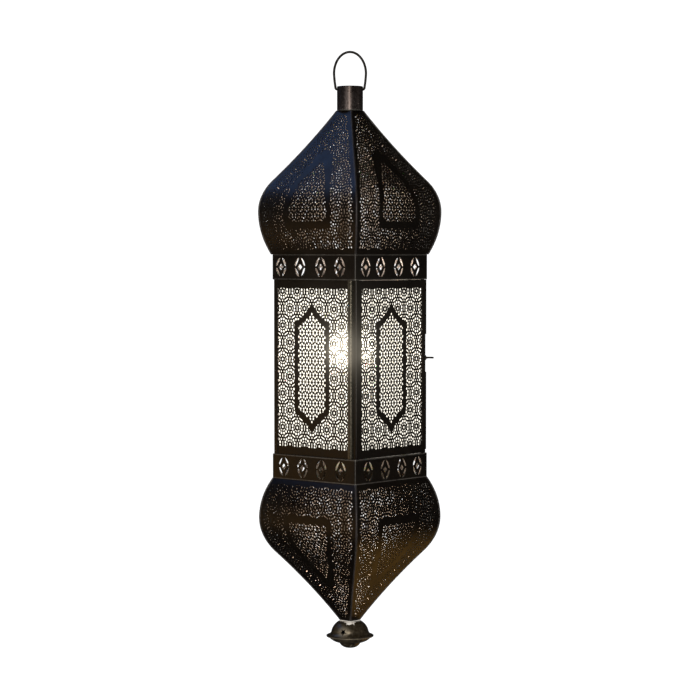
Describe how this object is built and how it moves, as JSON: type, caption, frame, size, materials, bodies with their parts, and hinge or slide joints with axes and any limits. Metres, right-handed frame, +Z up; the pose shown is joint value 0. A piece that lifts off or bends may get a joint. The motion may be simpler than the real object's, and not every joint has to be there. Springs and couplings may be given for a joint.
{
  "type": "hanging metal lantern",
  "caption": "Tall square hanging candle lantern of pierced dark metal, with onion domes above and below, a glazed hinged door with a hook, a swinging ring and a bell finial.",
  "frame": {"origin": "inner top of the hanging ring, where it rests on its hook, on the lantern's axis", "axes": "+Z up along the lantern's axis; the glazed door is the front, on the -Y side, hinged at the -X corner and latched at the +X corner; the ring's plane lies along the diagonal from -X,+Y to +X,-Y"},
  "size_m": [0.1308, 0.1308, 0.6001],
  "materials": {
    "blackened_sheet": "blackened brown, satin, with olive and rust-brown tints",
    "solder_seam": "darkened solder, semi-gloss",
    "frame_steel": "blackened, matte",
    "collar_metal": "satin brown-grey",
    "ring_wire": "dark drawn wire",
    "latch_wire": "dark drawn wire",
    "bright_steel": "dull zinc",
    "dish_metal": "smoke-stained bronze",
    "finial_metal": "antique pewter-bronze, satin",
    "frosted_glass": "frosted, candle-lit",
    "candle_wax": "ivory paraffin wax",
    "wick_cotton": "charred cotton"
  },
  "bodies": {
    "ring": {"hanging_ring": "ring_wire"},
    "lantern": {"base_ring": "frame_steel", "body_bottom_ring": "frame_steel", "body_top_ring": "frame_steel", "candle_plate": "dish_metal", "crown_ring": "frame_steel", "drip_dish": "dish_metal", "finial_bolt": "bright_steel", "finial_cap": "finial_metal", "finial_cup": "finial_metal", "finial_nut": "bright_steel", "hinge_rod": "latch_wire", "latch_staple": "latch_wire", "lower_band": "blackened_sheet", "lower_dome_back": "blackened_sheet", "lower_dome_front": "blackened_sheet", "lower_dome_left": "blackened_sheet", "lower_dome_right": "blackened_sheet", "lower_dome_seam_back_left": "solder_seam", "lower_dome_seam_back_right": "solder_seam", "lower_dome_seam_front_left": "solder_seam", "lower_dome_seam_front_right": "solder_seam", "neck_collar": "collar_metal", "neck_plate": "frame_steel", "pane_back": "frosted_glass", "pane_clips": "bright_steel", "pane_left": "frosted_glass", "pane_right": "frosted_glass", "post_back_left": "blackened_sheet", "post_back_right": "blackened_sheet", "post_hinge": "blackened_sheet", "post_latch": "blackened_sheet", "pricket": "bright_steel", "side_sheet_back": "blackened_sheet", "side_sheet_left": "blackened_sheet", "side_sheet_right": "blackened_sheet", "tip_plate": "frame_steel", "upper_band": "blackened_sheet", "upper_dome_back": "blackened_sheet", "upper_dome_front": "blackened_sheet", "upper_dome_left": "blackened_sheet", "upper_dome_right": "blackened_sheet", "upper_dome_seam_back_left": "solder_seam", "upper_dome_seam_back_right": "solder_seam", "upper_dome_seam_front_left": "solder_seam", "upper_dome_seam_front_right": "solder_seam"},
    "door": {"door_frame": "blackened_sheet", "door_sheet": "blackened_sheet", "door_pane": "frosted_glass", "door_pane_clips": "bright_steel"},
    "hook": {"latch_hook": "latch_wire"},
    "candle": {"candle": "candle_wax", "candle_wick": "wick_cotton"}
  },
  "joints": [
    {"name": "ring_swing", "type": "hinge", "parent": "ring", "child": "lantern", "pos_m": [0, 0, -0.036], "axis": [0.7071, -0.7071, 0], "range_deg": [-110, 110]},
    {"name": "door_swing", "type": "hinge", "parent": "lantern", "child": "door", "pos_m": [-0.0509, -0.0509, -0.31325], "axis": [0, 0, -1], "range_deg": [0, 100]},
    {"name": "hook_turn", "type": "hinge", "parent": "lantern", "child": "hook", "pos_m": [0.058, -0.051, -0.305], "axis": [0, 0, 1], "range_deg": [-90, 20]},
    {"name": "candle_lift", "type": "slide", "parent": "lantern", "child": "candle", "axis": [0, 0, 1], "range_m": [0, 0.02]}
  ]
}
